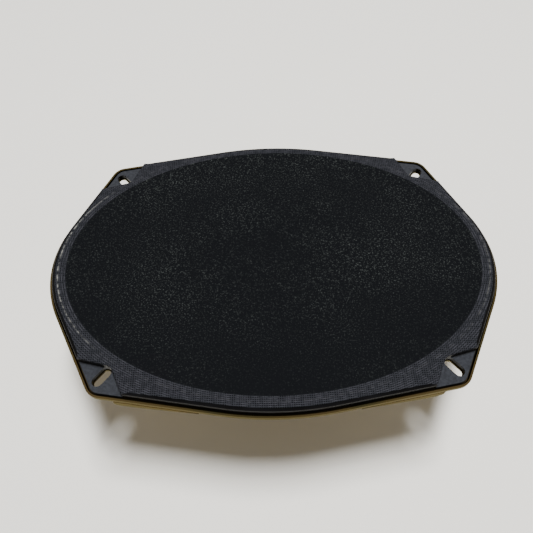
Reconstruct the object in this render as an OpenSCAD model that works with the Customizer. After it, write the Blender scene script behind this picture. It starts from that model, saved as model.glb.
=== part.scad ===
// Oval two-way car loudspeaker, 6 x 9 inch class, resting on its magnet with the grille up.
// Origin: middle of the motor's back face. +Z runs to the grille, +X along the long axis.

/* [Rim] */
// Half length of the flange
rim_a = 117.5; // [110:0.1:125]
// Half width of the flange at its middle
rim_b = 82.4; // [75:0.1:90]
// Ear corner centre, along the length
ear_x = 84.2; // [70:0.5:95]
// Ear corner centre, across the width
ear_y = 62.2; // [50:0.5:75]
// Ear corner radius
ear_r = 8; // [3:0.5:12]
// Height of the flange's upper face above the back face
flange_z = 77; // [60:0.5:95]
// Thickness of the basket's steel sheet
sheet = 1.0; // [0.7:0.1:1.5]
// Height of the upturned edge
lip_h = 2.5; // [1:0.1:4]

/* [Screw slots] */
// Slot centre along the length
slot_x = 84.3; // [75:0.1:95]
// Slot centre across the width
slot_y = 59.9; // [50:0.1:70]
// Slot length over its round ends
slot_len = 10; // [6:0.5:16]
// Slot width
slot_w = 4.2; // [4:0.1:8]
// Slot direction away from the long axis, degrees
slot_turn = 50; // [0:1:90]

/* [Gasket and cloth] */
// Height of the gasket over the flange
gasket_h = 6.3; // [4:0.1:10]
// Thickness of the gasket where it covers the ears
gasket_base = 2.6; // [0.5:0.1:4]
// Half length of the gasket's opening
open_a = 108.8; // [100:0.1:112]
// Half width of the gasket's opening
open_b = 75.8; // [65:0.1:78]
// Thickness of the grille cloth
cloth_t = 0.4; // [0.2:0.1:1]

/* [Bowl] */
// Radius of the seat for the spider
seat_r = 57; // [50:1:60]
// Height of the seat's upper face
seat_z = 42; // [36:1:48]
// Number of windows around the bowl
windows = 6; // [4:1:8]
// Half angle of one window
window_half = 22; // [10:1:26]

/* [Motor] */
// Diameter of the back plate
back_d = 86; // [70:1:100]
// Thickness of the back plate
back_t = 5.5; // [4:0.5:8]
// Diameter of the ferrite magnet
magnet_d = 90; // [70:1:110]
// Thickness of the magnet
magnet_t = 16; // [10:1:22]
// Diameter of the top plate
top_d = 84; // [70:1:100]
// Thickness of the top plate
top_t = 6; // [4:0.5:8]
// Radius of the pole
pole_r = 12.3; // [11:0.1:14]
// Radius of the top plate's bore
gap_r = 13.8; // [12:0.1:16]

/* [Cone and coil] */
// Inner radius of the coil former
former_r = 12.75; // [12:0.05:14]
// Half length of the cone's rim
cone_a = 95.5; // [85:0.5:98]
// Half width of the cone's rim
cone_b = 61.5; // [50:0.5:65]
// Thickness of the paper cone
paper = 0.8; // [0.4:0.1:1.5]
// Height of the surround's roll
roll_h = 3.4; // [2:0.5:5]

/* [Tweeter] */
// Outer radius of the tweeter housing
tw_r = 18; // [14:0.5:22]
// Height of the housing's underside
tw_z = 58; // [55:0.5:62]
// Radius of the dome
dome_r = 9.5; // [7:0.5:12]

/* [Terminals] */
// Distance of a terminal from the middle line
tab_y = 8.5; // [7:0.5:11]
// Width of the wide (positive) tab
tab_wide = 6.3; // [4.8:0.1:6.5]
// Width of the narrow (negative) tab
tab_narrow = 4.8; // [2.8:0.1:5.5]

/* [Hidden] */

$fn = 64;
fit = 0.02;                             // play between glued or pressed pieces
eps = 0.5;                              // how far a cutter runs past what it cuts
rim_n = 120;                            // points round the flange
ring_n = 60;                            // points round a swept ring
flange_low = flange_z - sheet;
gasket_in = 2.0;                        // gasket edge inside the flange edge
top_z = flange_z + gasket_h;            // upper face of the gasket
ear_z = flange_z + gasket_base;         // upper face of the gasket's flat layer
hole_a = 103;                           // opening of the basket
hole_b = 69;
mag_z = back_t;
top_low = back_t + magnet_t;
top_high = top_low + top_t;             // the basket's floor lies on it
floor_r = 41;
cup_r = 45.9;                           // radius of the cup under the seat's sheet
wind_r = former_r + 0.2;                // the former's wall is 0.2
rivet_at = 30;
rivet_r = 2.5;
post_r = 5.5;
spigot_r = 4;
bowl_a = 104.7;                         // bowl's outer edge where it meets the flange
bowl_b = 70.7;
bowl_t = 1.3;                           // bowl wall, measured level
win_low = 0.1;                          // a window's share of the bowl's slope
win_high = 0.85;
neck_z = 46.5;
cone_z = flange_z;                      // upper face of the cone's rim
cone_dip = 1.5;                         // how far the paper hangs below a straight line
cone_slope = 17.4;                      // of the paper where the leads' rivets go through
cone_roll = 7.4;
eyelet_x = 38;
board_x0 = 58;
board_x1 = 79;
board_t = 1.6;
tab_x = 74.5;
coil_r = 9.0;                           // inner radius of the tweeter's coil
tw_pot_z = tw_z + 8.8;
tw_plate_z = tw_pot_z + 5.5;
dome_z = tw_pot_z + 8.5;
bezel_z = tw_z + 19;

// Point of the flange outline whose outward normal points at angle p, moved in by d:
// an ellipse drawn round with four ear circles, as a belt lies round them.
function rim_pt(p, d) =
    let (c = cos(p), s = sin(p),
         he = sqrt(pow(rim_a * c, 2) + pow(rim_b * s, 2)),
         hc = ear_x * abs(c) + ear_y * abs(s) + ear_r)
    he > hc ? [rim_a * rim_a * c / he - d * c, rim_b * rim_b * s / he - d * s]
            : [sign(c) * ear_x + (ear_r - d) * c, sign(s) * ear_y + (ear_r - d) * s];

function rim(d) = [for (i = [0 : rim_n - 1]) rim_pt(360 * (i + 0.5) / rim_n, d)];

function oval(a, b, n = ring_n) = [for (i = [0 : n - 1]) [a * cos(360 * i / n), b * sin(360 * i / n)]];

// Rounds corner c between the points a and b with radius r
function corner(a, c, b, r, n = 6) =
    let (u = (a - c) / norm(a - c), v = (b - c) / norm(b - c),
         half = acos(u * v) / 2, mid = (u + v) / norm(u + v),
         o = c + mid * r / sin(half),
         p = c + u * r / tan(half) - o, q = c + v * r / tan(half) - o,
         a0 = atan2(p[1], p[0]), da = atan2(q[1], q[0]) - a0,
         turn = da > 180 ? da - 360 : da < -180 ? da + 360 : da)
    [for (i = [0 : n]) o + r * [cos(a0 + turn * i / n), sin(a0 + turn * i / n)]];

module prism(points, z0, z1) {
    translate([0, 0, z0]) linear_extrude(z1 - z0) polygon(points);
}

// Closed ring swept round the Z axis. A row is [half length, half width, height], and the
// rows go anticlockwise round the section, seen with the outside to the right.
module swept_oval(rows, n = ring_n) {
    m = len(rows);
    pts = [for (i = [0 : n - 1]) for (r = rows)
        [r[0] * cos(360 * i / n), r[1] * sin(360 * i / n), r[2]]];
    faces = [for (i = [0 : n - 1]) for (j = [0 : m - 1])
        let (k = (i + 1) % n, l = (j + 1) % m)
        for (f = [[i * m + j, i * m + l, k * m + l], [i * m + j, k * m + l, k * m + j]]) f];
    polyhedron(pts, faces, convexity = 6);
}

// Slot prism at one ear, larger all round by g
module slot(sx, sy, g, z0, z1) {
    r = slot_w / 2 + g;
    half = slot_len / 2 - slot_w / 2;
    pts = [for (e = [1, -1]) for (i = [0 : 12])
        let (a = (e > 0 ? -90 : 90) + 15 * i) [e * half + r * cos(a), r * sin(a)]];
    translate([sx * slot_x, sy * slot_y, 0]) rotate(sx * sy * slot_turn) prism(pts, z0, z1);
}

module slots(g, z0, z1) {
    for (sx = [1, -1]) for (sy = [1, -1]) slot(sx, sy, g, z0, z1);
}

// The corner each ear takes out of the raised ring
module ear_notches(z0, z1) {
    a = [69, 79.5];
    c = [79.5, 56];
    b = [112, 47.4];
    pts = concat([[115, 90]], [a], corner(a, c, b, 5.5), [b]);
    for (sx = [1, -1]) for (sy = [1, -1])
        prism([for (p = pts) [sx * p[0], sy * p[1]]], z0, z1);
}

module window(mid) {
    n = 8;
    lo = [for (i = [-n : n]) let (t = mid + window_half * i / n, s = win_low)
        [(seat_r * (1 - s) + bowl_a * s) * cos(t), (seat_r * (1 - s) + bowl_b * s) * sin(t)]];
    hi = [for (i = [n : -1 : -n]) let (t = mid + window_half * i / n, s = win_high)
        [(seat_r * (1 - s) + bowl_a * s) * cos(t), (seat_r * (1 - s) + bowl_b * s) * sin(t)]];
    prism(concat(lo, hi), seat_z + eps, flange_low - eps);
}

module bowl() {
    difference() {
        swept_oval([[seat_r - 0.3, seat_r - 0.3, seat_z - 0.5], [bowl_a, bowl_b, flange_z - 0.5],
            [bowl_a - bowl_t, bowl_b - bowl_t, flange_z - 0.5],
            [seat_r - 0.3 - bowl_t, seat_r - 0.3 - bowl_t, seat_z - 0.5]]);
        for (i = [0 : windows - 1]) window(360 * i / windows);
    }
}

// Floor, cup and spider seat, pressed from the same sheet
module cup() {
    difference() {
        rotate_extrude($fn = 96) polygon([[17.5, top_high], [floor_r, top_high],
            [cup_r, seat_z - sheet], [seat_r, seat_z - sheet], [seat_r, seat_z],
            [cup_r - 0.8, seat_z], [floor_r - 0.7, top_high + sheet], [17.5, top_high + sheet]]);
        for (i = [0 : 5]) rotate(60 * i + 30) translate([38, 0, (seat_z + top_high) / 2])
            rotate([0, 90, 0]) cylinder(r = 3.5, h = 12);
        for (i = [0 : 3]) rotate(90 * i + 45) translate([rivet_at, 0, top_high - eps])
            cylinder(r = rivet_r, h = 3);
    }
}

// Stiffening edge turned down between the ears, deepest beside them
module side_skirts() {
    intersection() {
        difference() {
            prism(rim(0), flange_low - 3.4, flange_low + sheet / 2);
            prism(rim(sheet), flange_low - 4, flange_low + sheet);
        }
        for (s = [1, -1]) rotate([90, 0, 0]) linear_extrude(180, center = true)
            polygon([[s * 38, flange_low + 0.3], [s * 78.5, flange_low + 0.3],
                [s * 77.5, flange_low - 3.2], [s * 69, flange_low - 3.2]]);
    }
}

module basket() {
    color("goldenrod") difference() {
        union() {
            prism(rim(0), flange_low, flange_z);
            difference() {
                prism(rim(0), flange_z - 0.5, flange_z + lip_h);
                prism(rim(sheet), flange_z - 1, flange_z + lip_h + eps);
            }
            side_skirts();
            difference() {
                prism(oval(bowl_a + 1, bowl_b + 1), flange_low - 0.6, flange_low + 0.4);
                prism(oval(bowl_a - bowl_t - 0.4, bowl_b - bowl_t - 0.4), flange_low - 2, flange_z);
            }
            bowl();
            cup();
            translate([50, -16, seat_z - sheet]) cube([21, 32, sheet]);
        }
        prism(oval(hole_a, hole_b), flange_low - 0.2, flange_z + eps);
        slots(0, flange_low - eps, flange_z + eps);
        translate([64, 0, seat_z - 2]) cylinder(r = 1.6, h = 4);
    }
}

// Flat layer on the flange, which also covers the four ears
module gasket_sheet() {
    color("#202225") difference() {
        prism(rim(gasket_in), flange_z, ear_z);
        prism(oval(open_a, open_b, 90), flange_z - eps, ear_z + eps);
        slots(0.5, flange_z - eps, ear_z + eps);
    }
}

// Raised ring on the flat layer, notched clear of the ears
module gasket() {
    color("#202225") difference() {
        prism(rim(gasket_in), ear_z, top_z);
        prism(oval(open_a, open_b, 90), ear_z - eps, top_z + eps);
        ear_notches(ear_z - eps, top_z + eps);
        slots(0.5, ear_z - eps, top_z + eps);
    }
}

module grille_cloth() {
    color("#2b2d2e") difference() {
        prism(rim(gasket_in), top_z, top_z + cloth_t);
        ear_notches(top_z - eps, top_z + cloth_t + eps);
    }
}

// Rubber half roll between the cone's rim and the basket
module surround() {
    t = 0.6;
    n = 8;
    mid = 4.5;
    half = 4;
    ca = cone_a - 1;
    cb = cone_b - 1;
    z = flange_z;
    lower = concat([[-2.5, 0]], [for (i = [0 : n])
        [mid - half * cos(180 * i / n), roll_h * sin(180 * i / n)]], [[13.9, 0]]);
    upper = concat([[13.9, t]], [for (i = [n : -1 : 0])
        [mid - (half + t) * cos(180 * i / n), max(t, (roll_h + t) * sin(180 * i / n))]],
        [[-2.5, t]]);
    rows = [for (p = concat(lower, upper)) [ca + p[0], cb + p[0], z + p[1]]];
    color("#303236") swept_oval(rows, 72);
}

module cone() {
    zr = cone_z - paper;
    span = zr - neck_z - 1.5;
    ma = (cone_a - 1.5 + 14) / 2;
    mb = (cone_b - 1.5 + 14) / 2;
    mz = neck_z + 1.5 + span / 2 - cone_dip;
    color("#1c1c1e") difference() {
        swept_oval([[13.95, 13.95, neck_z], [13.95, 13.95, neck_z + 1.5], [ma, mb, mz],
            [cone_a - 1.5, cone_b - 1.5, zr], [cone_a, cone_b, zr], [cone_a, cone_b, cone_z],
            [cone_a - 3.8, cone_b - 3.8, cone_z], [ma - 1, mb - 1, mz + paper],
            [13.05, 13.05, neck_z + 2.4], [13.05, 13.05, neck_z]]);
        for (s = [1, -1]) eyelet_place(s) cylinder(r = 1.2, h = 8, center = true);
    }
}

// Corrugated cloth disc that centres the coil
module spider() {
    t = 0.5;
    waves = 5;
    r0 = 17;
    r1 = 44.5;
    steps = 8 * waves;
    mid = [for (i = [0 : steps]) let (u = i / steps)
        [r0 + (r1 - r0) * u, seat_z + 1.5 - 1.25 * u - 1.6 * sin(360 * waves * u)]];
    low = concat([[wind_r, seat_z + 1.5]], mid, [[46.5, seat_z + 0.002], [51, seat_z + 0.002]]);
    high = [for (i = [len(low) - 1 : -1 : 0]) low[i] + [0, t]];
    color("#c8a45a") rotate_extrude($fn = 96) polygon(concat(low, high));
}

module coil_former() {
    color("#b98e4a") translate([0, 0, top_low - 4]) difference() {
        cylinder(r = wind_r, h = 33);
        translate([0, 0, -1]) cylinder(r = former_r, h = 35);
    }
}

module coil_winding() {
    color("#b5651d") translate([0, 0, top_low + top_t / 2 - 6.5]) difference() {
        cylinder(r = wind_r + 0.4, h = 13);
        translate([0, 0, -1]) cylinder(r = wind_r, h = 15);
    }
}

module top_plate() {
    color("silver") difference() {
        translate([0, 0, top_low]) cylinder(d = top_d, h = top_t, $fn = 96);
        translate([0, 0, top_low - 1]) cylinder(r = gap_r, h = top_t + 2);
        for (i = [0 : 3]) rotate(90 * i + 45) translate([rivet_at, 0, top_low + 2])
            cylinder(r = rivet_r, h = top_t);
    }
}

module magnet() {
    color("#3a3a3c") translate([0, 0, mag_z]) rotate_extrude($fn = 96)
        polygon([[21, 0], [magnet_d / 2 - 0.8, 0], [magnet_d / 2, 0.8],
            [magnet_d / 2, magnet_t - 0.8], [magnet_d / 2 - 0.8, magnet_t], [21, magnet_t]]);
}

// Back plate with the pole in one piece
module yoke() {
    color("silver") rotate_extrude($fn = 96) polygon([[5.2, 0], [back_d / 2 - 1.2, 0],
        [back_d / 2, 1.2], [back_d / 2, back_t], [18, back_t], [pole_r, back_t - 1.5],
        [pole_r, top_high + 0.4], [pole_r - 0.6, top_high + 1], [spigot_r, top_high + 1],
        [spigot_r, 14], [2.6, 14], [2.6, 3.5], [5.2, 3.5]]);
}

module basket_rivets() {
    color("silver") for (i = [0 : 3]) rotate(90 * i + 45) translate([rivet_at, 0, 0]) {
        rotate_extrude($fn = 32) polygon([[0, top_low + 2], [rivet_r, top_low + 2],
            [rivet_r, top_high + sheet], [rivet_r + 1.4, top_high + sheet],
            [rivet_r + 1.1, top_high + sheet + 0.9], [rivet_r - 0.8, top_high + sheet + 1.4],
            [0, top_high + sheet + 1.4]]);
    }
}

module terminal_board() {
    color("#6b4a26") difference() {
        translate([board_x0, -15, seat_z - sheet - board_t])
            cube([board_x1 - board_x0, 30, board_t]);
        translate([64, 0, seat_z - sheet - 3]) cylinder(r = 1.6, h = 4);
        for (s = [1, -1]) translate([tab_x, s * tab_y, seat_z - sheet - 3])
            cylinder(r = 1.2, h = 4);
    }
}

module terminal_rivet() {
    low = seat_z - sheet - board_t;
    color("silver") translate([64, 0, 0]) rotate_extrude($fn = 32)
        polygon([[0, low - 1], [2, low - 1], [3, low - 0.5], [3, low], [1.6, low], [1.6, seat_z],
            [3, seat_z], [3, seat_z + 0.4], [2, seat_z + 1], [0, seat_z + 1]]);
}

// Push-on tab riveted to the board through its own eyelet
module tab(s, w) {
    low = seat_z - sheet - board_t;
    pts = [[tab_x - 3, -w / 2], [board_x1 + 8.5, -w / 2], [board_x1 + 10, -w / 2 + 1.2],
        [board_x1 + 10, w / 2 - 1.2], [board_x1 + 8.5, w / 2], [tab_x - 3, w / 2]];
    translate([0, s * tab_y, 0]) difference() {
        union() {
            prism(pts, low - 0.8, low);
            translate([tab_x, 0, low - 0.4]) cylinder(r = 1.2, h = board_t + 1);
            translate([tab_x, 0, seat_z - sheet]) cylinder(r = 2, h = 0.6);
        }
        translate([board_x1 + 5.5, 0, low - 2]) cylinder(r = 0.9, h = 4);
    }
}

module positive_tab() {
    color("silver") tab(1, tab_wide);
}

module negative_tab() {
    color("silver") tab(-1, tab_narrow);
}

// Part of a ring of wire from point a to point b, [x, z] in a plane of constant y.
// rise is how far the middle stands off the straight line.
module wire_arc(a, b, rise, r, y) {
    c = norm(b - a) / 2;
    big = (c * c + rise * rise) / (2 * rise);
    along = (b - a) / norm(b - a);
    up = [along[1], -along[0]];
    o = (a + b) / 2 - up * (big - rise) * sign(rise);
    sweep = 2 * asin(min(1, c / big));
    start = atan2(a[1] - o[1], a[0] - o[0]);
    translate([o[0], y, o[1]]) rotate([90, 0, 0]) rotate(start)
        rotate_extrude(angle = sweep) translate([big, 0]) circle(r = r, $fn = 24);
}

module tinsel_positive() {
    color("#c58f4e") wire_arc([tab_x, seat_z + 0.4], [eyelet_x + 0.6, 54.5], 5, 0.6, tab_y);
}

module tinsel_negative() {
    color("#c58f4e") wire_arc([tab_x, seat_z + 0.4], [eyelet_x + 0.6, 54.5], 5, 0.6, -tab_y);
}

module eyelet_place(s) {
    translate([eyelet_x, s * tab_y, 56.7]) rotate([s * cone_roll, -cone_slope, 0]) children();
}

// Hollow rivets through the cone that join the leads
module lead_eyelets() {
    color("peru") for (s = [1, -1]) eyelet_place(s) {
        translate([0, 0, -1]) cylinder(r = 1.0, h = 2, $fn = 24);
        for (z = [-1.25, 0.85]) translate([0, 0, z]) cylinder(r = 1.7, h = 0.4, $fn = 24);
    }
}

module tweeter_post() {
    color("#2a2a2c") rotate_extrude() polygon([[2, 18], [spigot_r - fit, 18],
        [spigot_r - fit, top_high + 1],
        [post_r, top_high + 1], [post_r, top_high + 22], [post_r + 1.5, tw_z - 3],
        [post_r + 1.5, tw_z], [3 - fit, tw_z], [3 - fit, tw_z + 1.9], [2, tw_z + 1.9]]);
}

// Screw that draws the post down onto the pole
module post_screw() {
    color("silver") rotate_extrude($fn = 48) polygon([[0, 1.9], [1.2, 1.9], [1.2, 0.5], [4.2, 0.5],
        [4.6, 1.2], [4.6, 3.5], [2.6, 3.5], [2.6, 14], [2, 14], [2, 26], [0, 26]]);
}

module tweeter_housing() {
    shoulder = dome_z;
    color("#242527") rotate_extrude($fn = 96) polygon([[3, tw_z], [9, tw_z], [tw_r, tw_z + 7],
        [tw_r, bezel_z], [tw_r - 1.4, bezel_z], [tw_r - 1.4, shoulder], [tw_r - 3.4, shoulder],
        [tw_r - 3.4, tw_pot_z], [11.5, tw_pot_z], [11.5, tw_pot_z - 1], [tw_r - 2.8, tw_pot_z - 1],
        [tw_r - 2.8, tw_z + 6.6], [8.2, tw_z + 1.2], [3, tw_z + 1.2]]);
}

module tweeter_pot() {
    color("silver") rotate_extrude() polygon([[0, tw_pot_z], [tw_r - 3.4 - fit, tw_pot_z],
        [tw_r - 3.4 - fit, tw_pot_z + 7.5], [10, tw_pot_z + 7.5], [10, tw_pot_z + 2.5],
        [0, tw_pot_z + 2.5]]);
}

module tweeter_magnet() {
    color("#8a8d90") translate([0, 0, tw_pot_z + 2.5]) cylinder(r = 8, h = 3);
}

module tweeter_top_plate() {
    color("silver") translate([0, 0, tw_plate_z]) cylinder(r = coil_r - 0.4, h = 2);
}

module tweeter_coil() {
    color("#b5651d") translate([0, 0, tw_plate_z - 1.5]) difference() {
        cylinder(r = dome_r - 0.1, h = dome_z - tw_plate_z + 1.5);
        translate([0, 0, -1]) cylinder(r = coil_r, h = 9);
    }
}

// Doped silk dome, a slice of a thin ball with a glued skirt
module tweeter_dome() {
    rise = 3.3;
    t = 0.3;
    ball = (dome_r * dome_r + rise * rise) / (2 * rise);
    edge = asin(dome_r / ball);
    n = 8;
    out = [for (i = [0 : n]) let (a = edge * i / n)
        [ball * sin(a), dome_z + t + rise - ball * (1 - cos(a))]];
    in = [for (i = [n : -1 : 0]) let (a = edge * i / n)
        [(ball - t) * sin(a), dome_z + t + rise - ball + (ball - t) * cos(a)]];
    color("#3b3f45") rotate_extrude() polygon(concat(out, [[dome_r, dome_z], [dome_r - t, dome_z]],
        in));
}

// Half roll and glued land round the dome
module tweeter_edge() {
    t = 0.25;
    n = 8;
    mid = (dome_r + 13.4) / 2;
    half = (13.4 - dome_r) / 2 - t;
    low = concat([for (i = [0 : n]) [mid - half * cos(180 * i / n),
        dome_z + 1.4 * sin(180 * i / n)]], [[tw_r - 1.4, dome_z]]);
    high = concat([[tw_r - 1.4, dome_z + t]], [for (i = [n : -1 : 0])
        [mid - (half + t * (i == 0 ? 0.6 : 1)) * cos(180 * i / n),
         max(dome_z + t, dome_z + (1.4 + t) * sin(180 * i / n))]]);
    color("#3b3f45") rotate_extrude() polygon(concat(low, high));
}

// Flared ring with three guard ribs over the dome
module tweeter_bezel() {
    low = dome_z + 0.25;
    top = bezel_z + 3.4;
    color("#2d2e31") union() {
        rotate_extrude($fn = 96) polygon([[14, low], [tw_r - 1.4 - fit, low],
            [tw_r - 1.4 - fit, bezel_z],
            [tw_r, bezel_z], [tw_r, top - 1], [tw_r - 1, top], [tw_r - 1.8, top], [14, low + 2.2]]);
        for (i = [0 : 2]) rotate(120 * i + 90) translate([0, -0.6, top - 0.9])
            cube([tw_r - 1.5, 1.2, 0.8]);
        translate([0, 0, top - 1]) cylinder(r = 2.4, h = 1.1);
    }
}

module capacitor() {
    color("#2f5fa8") translate([-6, 0, tw_z + 4.9]) rotate([0, 90, 0]) cylinder(r = 2.6, h = 12);
}

module capacitor_leads() {
    color("silver") for (s = [1, -1]) translate([s > 0 ? 6 : -8.6, 0, tw_z + 4.9])
        rotate([0, 90, 0]) cylinder(r = 0.35, h = 2.6, $fn = 24);
}

module pigtail_positive() {
    color("#a83232") wire_arc([37.2, 58.8], [12.6, 61.6], 3, 0.5, tab_y);
}

module pigtail_negative() {
    color("#303030") wire_arc([37.2, 58.8], [12.6, 61.6], 3, 0.5, -tab_y);
}

basket();
gasket_sheet();
gasket();
grille_cloth();
surround();
cone();
spider();
coil_former();
coil_winding();
top_plate();
magnet();
yoke();
basket_rivets();
terminal_board();
terminal_rivet();
positive_tab();
negative_tab();
tinsel_positive();
tinsel_negative();
lead_eyelets();
tweeter_post();
post_screw();
tweeter_housing();
tweeter_pot();
tweeter_magnet();
tweeter_top_plate();
tweeter_coil();
tweeter_dome();
tweeter_edge();
tweeter_bezel();
capacitor();
capacitor_leads();
pigtail_positive();
pigtail_negative();
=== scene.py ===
# %% [markdown]
# # An oval two-way car loudspeaker, 6 x 9 inch class
# The mechanical model comes first, from the CAD frame. Every piece made here lies in the
# same frame, in metres, with +Z towards the grille and +X along the long axis. A cell makes
# one piece or one finish, and says what the real one is and why it is made this way.

# %% Load the frame
from math import asin, cos, pi, radians, sin, sqrt, tan

import bmesh
import bpy
import numpy as np
from mathutils import Matrix, Vector


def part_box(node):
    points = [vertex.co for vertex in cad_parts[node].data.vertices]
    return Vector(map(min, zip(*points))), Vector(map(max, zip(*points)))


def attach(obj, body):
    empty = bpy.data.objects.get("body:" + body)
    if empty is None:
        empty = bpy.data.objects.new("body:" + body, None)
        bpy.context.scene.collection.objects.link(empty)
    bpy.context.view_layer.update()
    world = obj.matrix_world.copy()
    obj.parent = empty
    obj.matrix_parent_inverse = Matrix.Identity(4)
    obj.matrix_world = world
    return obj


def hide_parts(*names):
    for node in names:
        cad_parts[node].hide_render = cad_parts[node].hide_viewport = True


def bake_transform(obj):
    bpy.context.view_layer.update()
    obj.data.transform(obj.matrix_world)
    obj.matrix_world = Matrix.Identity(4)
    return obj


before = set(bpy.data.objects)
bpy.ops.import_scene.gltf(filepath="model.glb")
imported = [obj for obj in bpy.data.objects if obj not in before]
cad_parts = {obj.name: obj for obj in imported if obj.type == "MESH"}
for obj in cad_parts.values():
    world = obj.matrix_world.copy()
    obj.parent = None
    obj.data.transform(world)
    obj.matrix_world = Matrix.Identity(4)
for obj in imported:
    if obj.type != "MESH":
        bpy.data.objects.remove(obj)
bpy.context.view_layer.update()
MM = 0.001

# %% [markdown]
# ## Heights and radii
# The pieces made here have to meet the CAD pieces, so their sizes are read from the CAD
# boxes. Only what a box can't say, such as where an ear's corner is, is a number of its own.

# %% Sizes, in millimetres
def low(node):
    return np.array(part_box(node)[0]) / MM

def high(node):
    return np.array(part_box(node)[1]) / MM

SHEET = 1.0                              # steel sheet of the basket
RIM_A = float(high("basket")[0])         # half length of the flange
RIM_B = 82.4                             # half width of the flange at its middle
EAR = (84.2, 62.2, 8.0)                  # ear corner: centre x, centre y, radius
LIP_TOP = 79.5
FLANGE = float(low("gasket_sheet")[2])         # upper face of the flange
RING_TOP = float(high("gasket")[2])
CLOTH_TOP = float(high("grille_cloth")[2])
EAR_FACE = float(high("gasket_sheet")[2])  # the gasket's layer on the ears
GASKET_IN = 2.0                          # gasket edge inside the flange edge
OPEN = (108.8, 75.8)                     # half axes of the gasket's opening
NOTCH = ((73.0, 70.6), (79.5, 56.0), (97.0, 51.4))
SLOT = (84.3, 59.9, 10.0, 4.2, 50.0)     # centre x, centre y, length, width, turn
SEAT = 42.0                              # upper face of the spider's seat
FLOOR = float(high("top_plate")[2])      # the basket's floor lies on the top plate
print("flange at", round(FLANGE, 2), "ring top", round(RING_TOP, 2), "cloth", round(CLOTH_TOP, 2))

# %% [markdown]
# ## Camera and studio
# The eye looks down on the speaker from the front at 58 degrees. The room has two lamps high
# above it, one almost overhead and one a little behind, which give the two soft shadows on
# the pale table. A large plain floor and a pale surrounding stand for the table and the room.

# %% Camera
camera_data = bpy.data.cameras.new("camera")
camera_data.sensor_width = 36
camera_data.lens = 36 * 600 / 533
camera = bpy.data.objects.new("camera", camera_data)
bpy.context.scene.collection.objects.link(camera)
across = Vector((0.99952, -0.03107, 0.00055))
forward = Vector((0.01692, 0.52931, -0.84826))
up = across.cross(forward).normalized()
turn = Matrix((across, up, -forward)).transposed().to_4x4()
camera.matrix_world = Matrix.Translation(Vector((-9.51, -168.57, 348.85)) * MM) @ turn
bpy.context.scene.camera = camera

# %% Floor, lamps and room light
def linear(code, alpha=1.0):
    """An sRGB hex colour as the linear one that Blender counts in."""
    parts = [int(code[i:i + 2], 16) / 255 for i in (1, 3, 5)]
    return [p / 12.92 if p <= 0.04045 else ((p + 0.055) / 1.055) ** 2.4 for p in parts] + [alpha]

def add(tree, kind, values=None, links=None, **settings):
    """One node with its settings, its socket values and its incoming links."""
    made = tree.nodes.new(kind)
    for key, value in settings.items():
        setattr(made, key, value)
    for key, value in (values or {}).items():
        made.inputs[key].default_value = value
    for key, source in (links or {}).items():
        tree.links.new(source, made.inputs[key])
    return made

def start_finish(name, **values):
    """A new material with one Principled shader, whose plain values are set by name."""
    made = bpy.data.materials.new(name)
    made.use_nodes = True
    shader = made.node_tree.nodes["Principled BSDF"]
    for key, value in values.items():
        shader.inputs[key.replace("_", " ")].default_value = value
    return made, made.node_tree, shader

table_paint = start_finish("pale_table", Base_Color=linear("#e9e7e1"), Roughness=0.55)[0]
bpy.ops.mesh.primitive_plane_add(size=6, location=(0, 0, 0))
floor = bpy.context.object
floor.name = "floor"
floor.data.materials.append(table_paint)

world = bpy.data.worlds.new("room")
world.use_nodes = True
heading = add(world.node_tree, "ShaderNodeTexCoord")
height = add(world.node_tree, "ShaderNodeSeparateXYZ", links={"Vector": heading.outputs["Generated"]})
room = add(world.node_tree, "ShaderNodeValToRGB", links={"Fac": height.outputs["Z"]})
room.color_ramp.elements[0].color = linear("#cdbd9f")          # warm walls near the table
room.color_ramp.elements[1].color = linear("#6d6b68")          # dim ceiling
room.color_ramp.elements.new(0.5).color = linear("#94908a")
world.node_tree.links.new(room.outputs["Color"], world.node_tree.nodes["Background"].inputs["Color"])
world.node_tree.nodes["Background"].inputs["Strength"].default_value = 0.9
bpy.context.scene.world = world

def lamp(name, place, size, power):
    data = bpy.data.lights.new(name, "AREA")
    data.shape, data.size, data.energy = "DISK", size, power
    made = bpy.data.objects.new(name, data)
    bpy.context.scene.collection.objects.link(made)
    made.location = place
    made.visible_glossy = False          # shiny faces mirror the dim room, not a lamp's disc
    made.rotation_euler = (Vector((0, 0, 0.05)) - Vector(place)).to_track_quat("-Z", "Y").to_euler()

lamp("lamp_overhead", (0.10, -0.02, 2.0), 0.35, 46)
lamp("lamp_behind", (0.14, 0.27, 2.0), 0.40, 44)
print("camera", [round(v, 3) for v in camera.location])

# %% [markdown]
# ## Making a piece
# Every piece is a plain mesh whose place is in its points. A helper turns rows of points
# into a skin, and another gives the finished mesh its finish and its body. A row
# is one turn round the speaker, so two rows make a strip and many rows make a pressing.

# %% Helpers for pieces
def mesh_piece(name, points, faces, finish, smooth=True):
    """A mesh from points in millimetres, with its finish, ready to be finished further."""
    data = bpy.data.meshes.new(name)
    data.from_pydata([tuple(p) for p in np.asarray(points, float) * MM], [], faces)
    data.validate()
    made = bpy.data.objects.new(name, data)
    bpy.context.scene.collection.objects.link(made)
    if finish:
        data.materials.append(finish)
    for polygon in data.polygons:
        polygon.use_smooth = smooth
    return made

def skin(rows, closed=False):
    """Points and faces of rows that each go once round. closed joins the last row to the first."""
    rows = np.asarray(rows, float)
    m, n = rows.shape[:2]
    index = np.arange(m * n).reshape(m, n)
    faces = []
    for i in range(m if closed else m - 1):
        a, b = index[i], index[(i + 1) % m]
        a1, b1 = np.roll(a, -1), np.roll(b, -1)
        faces += np.stack([a, a1, b1, b], 1).tolist()
    return rows.reshape(-1, 3), faces

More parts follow.
